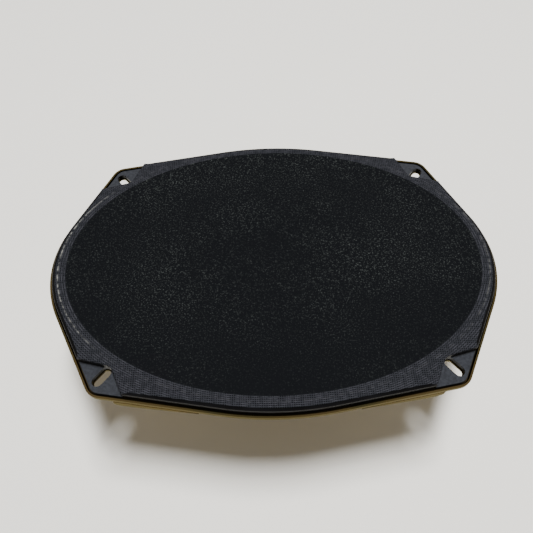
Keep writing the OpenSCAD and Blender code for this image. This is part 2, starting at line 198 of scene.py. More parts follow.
def outward(piece):
    """Points every face outwards. Only for a closed mesh."""
    work = bmesh.new()
    work.from_mesh(piece.data)
    bmesh.ops.remove_doubles(work, verts=work.verts, dist=1e-6)
    bmesh.ops.recalc_face_normals(work, faces=work.faces)
    work.to_mesh(piece.data)
    work.free()
    return piece

def applied(piece):
    """Makes the piece's modifiers part of its mesh."""
    bpy.context.view_layer.update()
    result = bpy.data.meshes.new_from_object(
        piece.evaluated_get(bpy.context.evaluated_depsgraph_get()))
    old = piece.data
    piece.modifiers.clear()
    piece.data = result
    bpy.data.meshes.remove(old)
    return piece

def crease(piece, angle=35):
    """Smooth shading, with hard edges where the surface turns more than the angle."""
    bpy.context.view_layer.objects.active = piece
    for other in bpy.context.selected_objects:
        other.select_set(False)
    piece.select_set(True)
    bpy.ops.object.shade_smooth_by_angle(angle=radians(angle))
    piece = applied(piece)
    piece.select_set(False)
    return piece

def hand_over(piece, body, slot, *stands_for):
    """The piece moves with its body and stands for its CAD nodes. slot is not used."""
    if body:
        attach(piece, body)
    if stands_for:
        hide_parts(*stands_for)
    print(piece.name, len(piece.data.polygons), "faces")
    return piece

# %% [markdown]
# ## The flange's outline
# The flange is an oval with four ear corners. Its edge is a belt: an ellipse and four circles
# with a belt pulled round them. Each direction from the middle meets the belt once, so the
# outline, and the gasket's with its four notches, can be asked for a radius at any angle.

# %% Outline
def belt(inset, count=1440):
    """Points of the flange's outline, moved in by the inset."""
    out = []
    for k in range(count):
        p = 2 * pi * (k + 0.5) / count
        c, s = cos(p), sin(p)
        oval = sqrt((RIM_A * c) ** 2 + (RIM_B * s) ** 2)
        ear = EAR[0] * abs(c) + EAR[1] * abs(s) + EAR[2]
        if oval > ear:
            out.append((RIM_A ** 2 * c / oval - inset * c, RIM_B ** 2 * s / oval - inset * s))
        else:
            reach = EAR[2] - inset
            out.append((np.sign(c) * EAR[0] + reach * c, np.sign(s) * EAR[1] + reach * s))
    return np.array(out)

def radius_of(points):
    """Radius of a closed outline as a function of the angle from the middle."""
    dense = []
    for a, b in zip(points, np.roll(points, -1, axis=0)):
        steps = max(1, int(np.linalg.norm(b - a) / 0.4))
        dense += [a + (b - a) * k / steps for k in range(steps)]
    dense = np.array(dense)
    angle = np.arctan2(dense[:, 1], dense[:, 0])
    reach = np.hypot(dense[:, 0], dense[:, 1])
    order = np.argsort(angle)
    angle, reach = angle[order], reach[order]
    angle = np.concatenate([angle - 2 * pi, angle, angle + 2 * pi])
    reach = np.tile(reach, 3)
    return lambda a: np.interp(a, angle, reach)

def rounded(a, c, b, r, steps=8):
    """An arc of radius r in place of the corner c between a and b."""
    a, b, c = (np.array(v, float) for v in (a, b, c))
    u, v = (a - c) / np.linalg.norm(a - c), (b - c) / np.linalg.norm(b - c)
    half = np.arccos(u @ v) / 2
    middle = c + (u + v) / np.linalg.norm(u + v) * r / sin(half)
    p, q = c + u * r / tan(half) - middle, c + v * r / tan(half) - middle
    full = np.arccos(np.clip(p @ q / r ** 2, -1, 1))
    return [middle + (p * sin((1 - k) * full) + q * sin(k * full)) / sin(full)
            for k in np.linspace(0, 1, steps + 1)]

def notched(inset, grow=0.0):
    """The raised ring's outline. grow moves the notches' walls outwards, towards the ears."""
    edge = radius_of(belt(inset))
    a, c, b = (np.array(v) for v in NOTCH)
    step = np.array([cos(radians(35)), sin(radians(35))]) * grow
    a, c, b = a + step, c + step, b + step
    far_a, far_b = c + (a - c) * 1.6, c + (b - c) * 1.6
    wall = np.array([far_a] + rounded(far_a, c, far_b, 5.5) + [far_b])
    dense = []
    for p, q in zip(wall[:-1], wall[1:]):
        dense += [p + (q - p) * k / 40 for k in range(40)]
    dense = np.array(dense)
    angle, reach = np.arctan2(dense[:, 1], dense[:, 0]), np.hypot(dense[:, 0], dense[:, 1])
    order = np.argsort(angle)
    angle, reach = angle[order], reach[order]
    def radius(t):
        fold = np.arctan2(abs(np.sin(t)), abs(np.cos(t)))
        cut = np.interp(fold, angle, reach, left=1e3, right=1e3)
        return np.minimum(edge(t), cut)
    return radius

TURN = 576
ellipse_t = 2 * pi * np.arange(TURN) / TURN
theta = np.arctan2(0.69 * np.sin(ellipse_t), 1.03 * np.cos(ellipse_t))

def polar(radius, z, angles=None):
    """One row of points at this radius function or radius, and height."""
    angles = theta if angles is None else angles
    r = radius(angles) if callable(radius) else np.full(len(angles), float(radius))
    z = z if isinstance(z, np.ndarray) else np.full(len(angles), float(z))
    return np.stack([r * np.cos(angles), r * np.sin(angles), z], 1)

def oval_row(a, b, z, t=None):
    t = ellipse_t if t is None else t
    return np.stack([a * np.cos(t), b * np.sin(t), np.full(len(t), float(z))], 1)

print("outline at 0 and 90 degrees:", radius_of(belt(0))(0.0), radius_of(belt(0))(pi / 2))

# %% [markdown]
# ## The basket's finish
# The basket is deep-drawn mild steel, zinc plated and then yellow passivated. The bath leaves
# a thin film whose colour wanders from straw to olive and rose, so the finish is a metal with
# three tints that a slow noise mixes, and a fine grain that roughens it as drawing does.

# %% Zinc, yellow passivated
zinc, tree, shader = start_finish("zinc_yellow_passivated", Metallic=1.0, Roughness=0.34,
                                   Specular_Tint=linear("#b4b0a4"))
place = add(tree, "ShaderNodeTexCoord")
drift = add(tree, "ShaderNodeTexNoise", {"Scale": 22.0, "Detail": 3.0, "Distortion": 0.6},
            {"Vector": place.outputs["Object"]})
tints = add(tree, "ShaderNodeValToRGB", links={"Fac": drift.outputs["Fac"]})
tints.color_ramp.elements[0].position, tints.color_ramp.elements[0].color = 0.32, linear("#a39a6c")
tints.color_ramp.elements[1].position, tints.color_ramp.elements[1].color = 0.70, linear("#cdb27c")
tints.color_ramp.elements.new(0.5).color = linear("#bfa970")
# painted shade: upright faces are tinted darker and greyer than flat ones, to keep them dim beside a pale
# table
facing = add(tree, "ShaderNodeSeparateXYZ", links={"Vector": place.outputs["Normal"]})
level = add(tree, "ShaderNodeMath", links={0: facing.outputs["Z"]}, operation="ABSOLUTE")
upright_shade = add(tree, "ShaderNodeMapRange", {"From Min": 0.85, "From Max": 0.25},
              {"Value": level.outputs[0]})
painted_light = add(tree, "ShaderNodeMix", links={"Factor": upright_shade.outputs["Result"],
                                         "A": tints.outputs["Color"]}, data_type="RGBA")
painted_light.inputs["B"].default_value = linear("#625c4a")
tree.links.new(painted_light.outputs["Result"], shader.inputs["Base Color"])
grain = add(tree, "ShaderNodeTexNoise", {"Scale": 900.0, "Detail": 2.0},
            {"Vector": place.outputs["Object"]})
rough = add(tree, "ShaderNodeMapRange", {"To Min": 0.12, "To Max": 0.24},
            {"Value": grain.outputs["Fac"]})
tree.links.new(rough.outputs["Result"], shader.inputs["Roughness"])
dents = add(tree, "ShaderNodeBump", {"Strength": 0.15, "Distance": 0.00003},
            {"Height": grain.outputs["Fac"]})
tree.links.new(dents.outputs["Normal"], shader.inputs["Normal"])
print("finish", zinc.name)

# %% [markdown]
# ## The basket
# One blank of 1 mm steel is drawn into the whole basket: an upturned edge, a flat flange, a
# bowl that goes from oval to round, the spider's seat, a cup and a floor. It is made the same
# way here, as one sheet whose section is a chain of straight runs with a bend at each corner,
# followed round the speaker. Then it gets its thickness, and a Boolean punches the windows,
# vents and slots, as the press does. Each arm between two windows has a stiffening bead.

# %% The drawn sheet
def bent(corners, radii, runs):
    """Rows along a chain of corner rows. radii bend each inner corner, runs split each length."""
    rows = []
    arcs = []
    for k in range(1, len(corners) - 1):
        a, c, b = corners[k - 1], corners[k], corners[k + 1]
        la = np.linalg.norm(a - c, axis=1, keepdims=True)
        lb = np.linalg.norm(b - c, axis=1, keepdims=True)
        u, v = (a - c) / la, (b - c) / lb
        half = np.arccos(np.clip((u * v).sum(1, keepdims=True), -1, 1)) / 2
        reach = np.minimum(radii[k - 1] / np.tan(half), 0.46 * np.minimum(la, lb))
        r = reach * np.tan(half)
        middle = c + (u + v) / np.linalg.norm(u + v, axis=1, keepdims=True) * r / np.sin(half)
        p, q = c + u * reach - middle, c + v * reach - middle
        full = pi - 2 * half
        arcs.append([middle + (p * np.sin((1 - s) * full) + q * np.sin(s * full)) / np.sin(full)
                     for s in np.linspace(0, 1, 5)])
    last = corners[0]
    for k, run in enumerate(runs):
        nxt = arcs[k][0] if k < len(arcs) else corners[-1]
        rows += [last + (nxt - last) * s / run for s in range(run)]
        if k < len(arcs):
            rows += arcs[k][:-1]
            last = arcs[k][-1]
    rows.append(corners[-1])
    return np.array(rows)

HALF = SHEET / 2
edge_in = radius_of(belt(HALF))
mid = FLANGE - HALF
bowl_top = (104.05, 70.05)
sheet_rows = bent(
    [polar(edge_in, LIP_TOP), polar(edge_in, mid), oval_row(*bowl_top, mid),
     oval_row(56.1, 56.1, SEAT - HALF), oval_row(45.5, 45.5, SEAT - HALF),
     oval_row(40.6, 40.6, FLOOR + HALF), oval_row(17.5, 17.5, FLOOR + HALF)],
    [1.1, 1.6, 1.8, 1.6, 1.6], [2, 6, 22, 3, 6, 8])

ARMS = [radians(30 + 60 * k) for k in range(6)]
bead_rows = (sheet_rows[:, :, 2] - SEAT) / (mid - SEAT)
rise = np.clip(bead_rows, 0, 1)
rise = np.clip((rise - 0.04) / 0.14, 0, 1) * np.clip((0.96 - rise) / 0.16, 0, 1)
beads = np.zeros(sheet_rows.shape[:2])
for arm in ARMS:
    off = (ellipse_t - arm + pi) % (2 * pi) - pi
    beads += np.exp(-(off / radians(2.3)) ** 2)[None, :] * rise
reach = np.hypot(sheet_rows[:, :, 0], sheet_rows[:, :, 1])
inside = (reach > 50) & (sheet_rows[:, :, 2] < mid - 0.6)
for axis in (0, 1):
    sheet_rows[:, :, axis] += np.where(inside, 1.5 * beads * sheet_rows[:, :, axis] / reach, 0)
points, faces = skin(sheet_rows)
basket = mesh_piece("pressed_basket", points, faces, zinc)
wall = basket.modifiers.new("wall", "SOLIDIFY")
wall.thickness, wall.offset, wall.use_even_offset = SHEET * MM, 0.0, True
basket = outward(applied(basket))
print("drawn sheet:", len(basket.data.polygons), "faces")

# %% Punches for windows, vents, slots and rivets
def prism(outline, z0, z1, at=None):
    """Points and faces of an upright prism, or one that a matrix then places."""
    n = len(outline)
    points = [(x, y, z) for z in (z0, z1) for x, y in outline]
    if at is not None:
        points = [tuple(at @ Vector(p)) for p in points]
    faces = [tuple(range(n))[::-1], tuple(range(n, 2 * n))]
    faces += [(k, (k + 1) % n, n + (k + 1) % n, n + k) for k in range(n)]
    return points, faces

def joined(parts):
    points, faces = [], []
    for p, f in parts:
        faces += [tuple(i + len(points) for i in face) for face in f]
        points += list(p)
    return points, faces

def round_window(arm_gap, low_s, high_s):
    """A window's outline in plan: a rounded rectangle along the bowl's own slope."""
    half, soft_t, soft_s = radians(arm_gap), radians(4.5), 0.11
    out = []
    for sx, sy, start in ((1, 1, 0), (-1, 1, 90), (-1, -1, 180), (1, -1, 270)):
        for k in range(7):
            a = radians(start + 15 * k)
            out.append((sx * (half - soft_t) + soft_t * cos(a),
                        (high_s - soft_s if sy > 0 else low_s + soft_s) + soft_s * sin(a)))
    dense = []
    for (t0, s0), (t1, s1) in zip(out, out[1:] + out[:1]):
        steps = max(1, int(abs(t1 - t0) / radians(2.5)) + int(abs(s1 - s0) / 0.2))
        dense += [(t0 + (t1 - t0) * k / steps, s0 + (s1 - s0) * k / steps) for k in range(steps)]
    return dense

def disc(r, count=24):
    return [(r * cos(2 * pi * k / count), r * sin(2 * pi * k / count)) for k in range(count)]

def slot_outline(grow):
    length, width = SLOT[2:4]
    r, half = width / 2 + grow, length / 2 - width / 2
    out = []
    for end, start in ((1, -90), (-1, 90)):
        for k in range(13):
            a = radians(start + 15 * k)
            out.append((end * half + r * cos(a), r * sin(a)))
    return out

def slot_at(sx, sy):
    return (Matrix.Translation((sx * SLOT[0], sy * SLOT[1], 0))
            @ Matrix.Rotation(radians(sx * sy * SLOT[4]), 4, "Z"))

EARS = [(sx, sy) for sx in (1, -1) for sy in (1, -1)]
window_shape = round_window(22, 0.10, 0.85)
punches = []
for k in range(6):
    plan = [((57 * (1 - s) + 104.7 * s) * cos(t + pi * k / 3),
             (57 * (1 - s) + 70.7 * s) * sin(t + pi * k / 3)) for t, s in window_shape]
    punches.append(prism(plan, SEAT + 1.2, FLANGE - 2.0))
    vent = (Matrix.Rotation(pi * k / 3 + pi / 6, 4, "Z") @ Matrix.Translation((38, 0, 35))
            @ Matrix.Rotation(pi / 2, 4, "Y"))
    punches.append(prism(disc(3.5), 0, 12, vent))
for k in range(4):
    turned = Matrix.Rotation(pi / 4 + k * pi / 2, 4, "Z") @ Matrix.Translation((30, 0, 0))
    punches.append(prism(disc(2.6), FLOOR - 1, FLOOR + 3, turned))
for sx, sy in EARS:
    punches.append(prism(slot_outline(0), FLANGE - 3, FLANGE + 1, slot_at(sx, sy)))

def combine(piece, parts, how):
    """A Boolean with parts that are one mesh of prisms."""
    tool = outward(mesh_piece("tool", *joined(parts), None, smooth=False))
    step = piece.modifiers.new("cut", "BOOLEAN")
    step.object, step.operation, step.solver = tool, how, "EXACT"
    applied(piece)
    data = tool.data
    bpy.data.objects.remove(tool)
    bpy.data.meshes.remove(data)
    return piece

basket = combine(basket, punches, "DIFFERENCE")
print("punched:", len(basket.data.polygons), "faces")

# %% [markdown]
# ## Lug and side edges
# Beside each ear, the flange's long edges are also turned down a few millimetres, deepest at
# the ear, which keeps the flange from bending as its screws pull. A flat lug under the bowl
# carries the terminals. Both are parts of the same pressing, so they are fused to it.

# %% Add the lug and the side edges
def side_edge(sx, sy):
    """A strip that hangs from the flange's edge, from near the ear towards the middle."""
    outer, inner = radius_of(belt(0.02)), radius_of(belt(SHEET))
    xs = np.concatenate([np.linspace(38, 69, 12), [72, 75, 77.6, 78.3]])
    depth = np.interp(xs, [38, 69, 77.2, 78.3], [-0.3, 3.2, 3.2, 1.2])
    tops = []
    for radius in (outer, inner):
        angle = np.arctan2(np.full(len(xs), 77.0), xs)
        for _ in range(6):
            r = radius(angle)
            angle = np.arctan2(r * np.sin(angle), xs)
        tops.append(np.stack([sx * xs, sy * radius(angle) * np.sin(angle)], 1))
    points, faces = [], []
    n = len(xs)
    for edge, z in ((0, 0.4), (1, 0.4), (1, None), (0, None)):
        for k in range(n):
            points.append((*tops[edge][k], FLANGE - SHEET + (z if z else -depth[k])))
    for k in range(n - 1):
        for e in range(4):
            f = (e + 1) % 4
            faces.append((e * n + k, e * n + k + 1, f * n + k + 1, f * n + k))
    faces += [(0, n, 2 * n, 3 * n), (n - 1, 2 * n - 1, 3 * n - 1, 4 * n - 1)]
    return points, faces

lug = rounded((50, -16), (71, -16), (71, 16), 3) + rounded((71, -16), (71, 16), (50, 16), 3)
lug = [(50.0, -16.0)] + [tuple(p) for p in lug] + [(50.0, 16.0)]
basket = combine(basket, [prism(lug, SEAT - SHEET, SEAT)], "UNION")
basket = combine(basket, [side_edge(sx, sy) for sx, sy in EARS], "UNION")
basket = combine(basket, [prism(disc(1.65), SEAT - 3, SEAT + 2, Matrix.Translation((64, 0, 0)))],
                 "DIFFERENCE")
basket = crease(basket, 32)
hand_over(basket, "frame", "zinc_yellow_steel", "basket")

# %% [markdown]
# ## The gasket ring
# A ring of moulded black plastic sits on the flange. It keeps the grille cloth clear of the
# cone and fills the gap to the car's panel. At each ear it steps down to a thin layer with a
# slot larger than the steel's, so that a screw head bites on metal. Its section changes all
# the way round, so every row of points asks the outlines for its own radius.

# %% Moulded plastic finishes
def worked(name, tints, drift_mm, grain_mm, rough, dent_mm, **values):
    """A finish whose tint drifts between three colours, and whose grain roughens and dents it."""
    made, tree, shader = start_finish(name, **values)
    place = add(tree, "ShaderNodeTexCoord")
    drift = add(tree, "ShaderNodeTexNoise", {"Scale": 1000 / drift_mm, "Detail": 3.0},
                {"Vector": place.outputs["Object"]})
    ramp = add(tree, "ShaderNodeValToRGB", links={"Fac": drift.outputs["Fac"]})
    ramp.color_ramp.elements[0].position, ramp.color_ramp.elements[0].color = 0.34, linear(tints[0])
    ramp.color_ramp.elements[1].position, ramp.color_ramp.elements[1].color = 0.66, linear(tints[2])
    ramp.color_ramp.elements.new(0.5).color = linear(tints[1])
    grain = add(tree, "ShaderNodeTexNoise", {"Scale": 1000 / grain_mm, "Detail": 2.0},
                {"Vector": place.outputs["Object"]})
    span = add(tree, "ShaderNodeMapRange", {"To Min": rough[0], "To Max": rough[1]},
               {"Value": grain.outputs["Fac"]})
    dents = add(tree, "ShaderNodeBump", {"Strength": 1.0, "Distance": dent_mm * MM},
                {"Height": grain.outputs["Fac"]})
    tree.links.new(ramp.outputs["Color"], shader.inputs["Base Color"])
    tree.links.new(span.outputs["Result"], shader.inputs["Roughness"])
    tree.links.new(dents.outputs["Normal"], shader.inputs["Normal"])
    return made

# moulded ABS with a fine spark-eroded grain: a soft shine, and a painted blue-grey sheen on the ears
# below
gasket_plastic = worked("black_abs_moulded", ("#050506", "#070708", "#0a0a0c"), 12, 0.6,
                        (0.34, 0.46), 0.012, IOR=1.53, Specular_IOR_Level=0.25)
# painted sheen: the ears' flat, upward-facing faces below the raised ring are painted blue-grey in
# specks, as if lit and mirroring the room, while the upright walls keep the near-black tint
tree = gasket_plastic.node_tree
shader = tree.nodes["Principled BSDF"]
place = add(tree, "ShaderNodeTexCoord")
level = add(tree, "ShaderNodeSeparateXYZ", links={"Vector": place.outputs["Object"]})
lying = add(tree, "ShaderNodeSeparateXYZ", links={"Vector": place.outputs["Normal"]})
low_down = add(tree, "ShaderNodeMapRange", {"From Min": (EAR_FACE + 0.3) * MM,
                                            "From Max": (EAR_FACE + 0.05) * MM},
               {"Value": level.outputs["Z"]})
specks = add(tree, "ShaderNodeTexNoise", {"Scale": 1000 / 1.1, "Detail": 3.0, "Roughness": 0.7},
             {"Vector": place.outputs["Object"]})
sheen_spread = add(tree, "ShaderNodeMapRange", {"From Min": 0.2, "From Max": 0.8, "To Min": 0.3},
            {"Value": specks.outputs["Fac"]})
upward_ear_faces = add(tree, "ShaderNodeMath", links={0: low_down.outputs["Result"], 1: lying.outputs["Z"]},
              operation="MULTIPLY", use_clamp=True)
painted_sheen = add(tree, "ShaderNodeMath", links={0: upward_ear_faces.outputs[0], 1: sheen_spread.outputs["Result"]},
           operation="MULTIPLY")
plain_tint = shader.inputs["Base Color"].links[0].from_socket
painted_sheen_mix = add(tree, "ShaderNodeMix", links={"Factor": painted_sheen.outputs[0], "A": plain_tint}, data_type="RGBA")
painted_sheen_mix.inputs["B"].default_value = linear("#34363b")
tree.links.new(painted_sheen_mix.outputs["Result"], shader.inputs["Base Color"])
print("finish", gasket_plastic.name)

# %% Sweep the gasket ring
def oval(a, b):
    """Radius of an ellipse at a polar angle."""
    return lambda t: a * b / np.hypot(b * np.cos(t), a * np.sin(t))

ring_edge = radius_of(belt(GASKET_IN))
ring_wall = notched(GASKET_IN)
probe = np.linspace(0, 2 * pi, 40001)
in_notch = ring_wall(probe) < ring_edge(probe) - 1e-6
crossings = probe[np.nonzero(np.diff(in_notch.astype(int)))[0]]
fine = np.unique(np.concatenate([2 * pi * np.arange(1080) / 1080, crossings, crossings + 2e-4]))
cut = ring_wall(fine) < ring_edge(fine) - 1e-6
opening = oval(*OPEN)(fine)
edge, walls = ring_edge(fine), ring_wall(fine)
foot = np.minimum(walls + 0.5, edge)
# the ring's top rolls over at its edge: widely along the flange, tightly at the ears
roll_w = np.convolve(np.tile(np.where(cut, 0.7, 2.3), 3), np.ones(9) / 9, "same")[len(fine):2 * len(fine)]
ROLL_H = 0.7
flat_end = np.where(cut, edge - 0.25, edge)
soft = [radians(a) for a in (0, 30, 60, 90)]
ring_rows = [polar(lambda t: opening, FLANGE, fine)]
ring_rows += [polar(lambda t, a=a: opening + 0.5 * (1 - cos(a)), RING_TOP - 0.5 + 0.5 * sin(a), fine)
              for a in soft]
ring_rows += [polar(lambda t, k=k: opening + 0.5 + (walls - roll_w - 0.5 - opening) * k / 4, RING_TOP,
                    fine) for k in (1, 2, 3)]
ring_rows += [polar(lambda t, a=a: walls - roll_w * (1 - sin(a)), RING_TOP - ROLL_H * (1 - cos(a)), fine)
              for a in np.linspace(0, pi / 2, 7)]
ring_rows += [polar(lambda t: walls, EAR_FACE + 0.5, fine),
              polar(lambda t: walls + (foot - walls) * 0.3, EAR_FACE + 0.15, fine),
              polar(lambda t: foot, EAR_FACE, fine), polar(lambda t: flat_end, EAR_FACE, fine),
              polar(lambda t: edge, EAR_FACE - 0.25, fine), polar(lambda t: edge, FLANGE, fine)]
gasket = outward(mesh_piece("gasket_ring", *skin(ring_rows, closed=True), gasket_plastic))
gasket = combine(gasket, [prism(slot_outline(0.5), FLANGE - 1, RING_TOP + 1, slot_at(sx, sy))
                          for sx, sy in EARS], "DIFFERENCE")
gasket = crease(gasket, 40)
hand_over(gasket, "frame", "black_gasket", "gasket", "gasket_sheet")

# %% [markdown]
# ## The grille cloth
# Thin black polyester cloth is glued over the whole front. Over the ring it lies on plastic,
# so the glue fills it and the square weave shows as a grey net. Over the opening nothing is
# behind it, so it looks darker, and the broken ends of its nap catch the light as fine specks.
# It is one closed sheet 0.35 mm thick that sags a little and turns down over the ring's edge.

# %% Cloth finish
PITCH = 1.05                             # coarser than an assumed 0.5 mm, so that it reads
cloth_paint, tree, shader = start_finish("polyester_cloth_woven", Roughness=0.85, IOR=1.5,
                                         Specular_IOR_Level=0.03)
place = add(tree, "ShaderNodeTexCoord")
split = add(tree, "ShaderNodeSeparateXYZ", links={"Vector": place.outputs["Object"]})
shares = []
# the painted band's inner edge lies about 2.4 mm further in at the front than the opening's
for axis, half, middle in (("X", OPEN[0], 0.0), ("Y", OPEN[1] - 1.2, 1.2)):
    moved = add(tree, "ShaderNodeMath", {1: middle * MM}, {0: split.outputs[axis]},
                operation="SUBTRACT")
    part = add(tree, "ShaderNodeMath", {1: half * MM}, {0: moved.outputs[0]}, operation="DIVIDE")
    shares.append(add(tree, "ShaderNodeMath", {1: 2.0}, {0: part.outputs[0]}, operation="POWER"))
square = add(tree, "ShaderNodeMath", links={0: shares[0].outputs[0], 1: shares[1].outputs[0]},
             operation="ADD")
out_share = add(tree, "ShaderNodeMath", {1: 0.5}, {0: square.outputs[0]}, operation="POWER")
on_ring = add(tree, "ShaderNodeMapRange", {"From Min": 0.994, "From Max": 1.004},
              {"Value": out_share.outputs[0]}, interpolation_type="SMOOTHSTEP")
threads = []
for axis in ("X", "Y"):
    # a sine whose period is one thread: the wave's own period is pi/10 of a unit
    threads.append(add(tree, "ShaderNodeTexWave",
                       {"Scale": pi / 10 / (PITCH * MM), "Distortion": 0.6, "Detail": 1.0,
                        "Detail Scale": 0.4},
                       {"Vector": place.outputs["Object"]}, wave_type="BANDS",
                       bands_direction=axis, wave_profile="SIN"))
net = add(tree, "ShaderNodeMath", links={0: threads[0].outputs["Fac"], 1: threads[1].outputs["Fac"]},
          operation="MAXIMUM")
ring_tone = add(tree, "ShaderNodeValToRGB", links={"Fac": net.outputs[0]})
ring_tone.color_ramp.elements[0].position = 0.45
ring_tone.color_ramp.elements[0].color = linear("#101113")
ring_tone.color_ramp.elements[1].color = linear("#25262a")
# painted highlight and wear: the crest of the ring, 4 mm outside the opening, has a broken pale line,
# worst at one end, partly rubbed cloth and partly light caught by the crest
gap = add(tree, "ShaderNodeMath", {1: 1.036}, {0: out_share.outputs[0]}, operation="SUBTRACT")
near = add(tree, "ShaderNodeMath", links={0: gap.outputs[0]}, operation="ABSOLUTE")
crest = add(tree, "ShaderNodeMapRange", {"From Min": 0.0045, "From Max": 0.001},
            {"Value": near.outputs[0]})
flecks = add(tree, "ShaderNodeTexNoise", {"Scale": 1000 / 2.6, "Detail": 3.0, "Roughness": 0.65},
             {"Vector": place.outputs["Object"]})
broken = add(tree, "ShaderNodeMapRange", {"From Min": 0.40, "From Max": 0.62},
             {"Value": flecks.outputs["Fac"]})
end = add(tree, "ShaderNodeValToRGB", links={"Fac": add(tree, "ShaderNodeMapRange",
          {"From Min": -0.115, "From Max": 0.115}, {"Value": split.outputs["X"]}).outputs["Result"]})
end.color_ramp.elements[0].position, end.color_ramp.elements[0].color = 0.05, (1, 1, 1, 1)
end.color_ramp.elements[1].position, end.color_ramp.elements[1].color = 0.97, (0.3, 0.3, 0.3, 1)
end.color_ramp.elements.new(0.12).color = (0.05, 0.05, 0.05, 1)
end.color_ramp.elements.new(0.90).color = (0.05, 0.05, 0.05, 1)
wear_and_highlight = add(tree, "ShaderNodeMath", links={0: crest.outputs["Result"], 1: broken.outputs["Result"]},
           operation="MULTIPLY")
worn_and_highlit = add(tree, "ShaderNodeMath", links={0: wear_and_highlight.outputs[0], 1: end.outputs["Color"]},
           operation="MULTIPLY")
rubbed_and_highlit = add(tree, "ShaderNodeMix", links={"Factor": worn_and_highlit.outputs[0], "A": ring_tone.outputs["Color"]},
             data_type="RGBA")
rubbed_and_highlit.inputs["B"].default_value = linear("#74746f")
# painted highlights: fine pale lines, as light caught by ridges, run round the ring beside the crest
wave_at = add(tree, "ShaderNodeMath", {1: 2 * pi / 0.0125}, {0: out_share.outputs[0]},
              operation="MULTIPLY")
ridge = add(tree, "ShaderNodeMath", links={0: wave_at.outputs[0]}, operation="SINE")
painted_light = add(tree, "ShaderNodeMath", links={0: ridge.outputs[0], 1: broken.outputs["Result"]},
           operation="MULTIPLY", use_clamp=True)
ridge_highlights = add(tree, "ShaderNodeMix", links={"Factor": painted_light.outputs[0], "A": rubbed_and_highlit.outputs["Result"]},
             data_type="RGBA")
ridge_highlights.inputs["B"].default_value = linear("#35353a")
# over the opening: nap specks, fewer at the front, at one end and where the tweeter is behind
patch = add(tree, "ShaderNodeTexNoise", {"Scale": 30.0, "Detail": 4.0},
            {"Vector": place.outputs["Object"]})
nap = add(tree, "ShaderNodeTexNoise", {"Scale": 1000 / 0.85, "Detail": 2.0, "Roughness": 0.8},
          {"Vector": place.outputs["Object"]})
specks = add(tree, "ShaderNodeMapRange", {"From Min": 0.55, "From Max": 0.80},
             {"Value": nap.outputs["Fac"]})
shares = [add(tree, "ShaderNodeMapRange", {"From Min": 0.38, "From Max": 0.62, "To Min": 0.45},
              {"Value": patch.outputs["Fac"]}),
          add(tree, "ShaderNodeMapRange", {"From Min": -0.070, "From Max": -0.005, "To Min": 0.22},
              {"Value": split.outputs["Y"]}),
          add(tree, "ShaderNodeMapRange", {"From Min": -0.105, "From Max": -0.070, "To Min": 0.5},
              {"Value": split.outputs["X"]}),
          add(tree, "ShaderNodeMapRange", {"From Min": 0.16, "From Max": 0.46, "To Min": 0.5},
              {"Value": out_share.outputs[0]})]
speckle = specks
for share in shares:
    speckle = add(tree, "ShaderNodeMath", links={0: speckle.outputs[0], 1: share.outputs["Result"]},
                  operation="MULTIPLY")
open_tone = add(tree, "ShaderNodeMix", links={"Factor": speckle.outputs[0]}, data_type="RGBA")
open_tone.inputs["A"].default_value = linear("#0e0f11")
open_tone.inputs["B"].default_value = linear("#474b49")
tone = add(tree, "ShaderNodeMix", links={"Factor": on_ring.outputs["Result"],
                                         "A": open_tone.outputs["Result"],
                                         "B": ridge_highlights.outputs["Result"]}, data_type="RGBA")
tree.links.new(tone.outputs["Result"], shader.inputs["Base Color"])
weave = add(tree, "ShaderNodeMath", links={0: net.outputs[0], 1: nap.outputs["Fac"]}, operation="ADD")
relief = add(tree, "ShaderNodeBump", {"Strength": 0.7, "Distance": 0.0001},
             {"Height": weave.outputs[0]})
tree.links.new(relief.outputs["Normal"], shader.inputs["Normal"])
print("finish", cloth_paint.name)

# %% Stretch the cloth over the ring
SAG, CLOTH = 0.7, 0.35
top_rows = [polar(lambda t, s=s: opening * s, RING_TOP + CLOTH - SAG * (1 - s * s), fine)
            for s in np.linspace(0, 1, 25)]
top_rows += [polar(lambda t, k=k: opening + (walls - roll_w - opening) * k / 5, RING_TOP + CLOTH, fine)
             for k in range(1, 5)]
# along the flange the cloth is trimmed 1.5 mm short, so a black shoulder shows; at the ears it turns down
turn = np.where(cut, 75.0, 18.0)
turn = np.radians(np.convolve(np.tile(turn, 3), np.ones(9) / 9, "same")[len(fine):2 * len(fine)])
bend = np.linspace(0, 1, 6)
top_rows += [polar(lambda t, k=k: walls - roll_w + (roll_w + 0.25) * np.sin(turn * k),
                   RING_TOP + CLOTH - ROLL_H * (1 - np.cos(turn * k)), fine) for k in bend]
low_rows = [polar(lambda t, k=k: walls - roll_w + (roll_w + 0.01) * np.sin(turn * k),
                  RING_TOP + 0.01 - ROLL_H * (1 - np.cos(turn * k)), fine) for k in bend[::-1]]
low_rows += [polar(lambda t: opening + 0.6, RING_TOP + 0.01, fine)]
low_rows += [polar(lambda t, s=s: opening * s, RING_TOP + 0.01 - SAG * (1 - s * s), fine)
             for s in np.linspace(1, 0, 13)]
cloth = outward(mesh_piece("front_cloth", *skin(top_rows + low_rows), cloth_paint))
cloth = crease(cloth, 60)
cut_line = polar(lambda t: walls, 0, fine)
hand_over(cloth, "frame", "grille_cloth", "grille_cloth")

# %% [markdown]
# ## What moves: cone, surround and spider
# The cone is a thin pressed-paper funnel. A rubber half roll joins its rim to the flange, and
# a corrugated cloth disc, the spider, centres the coil. Both bend as the cone moves. Each is a
# closed ring swept from its section, and for every point a weight works out how much of the
# cone's travel it would take; only the weights' range is printed.

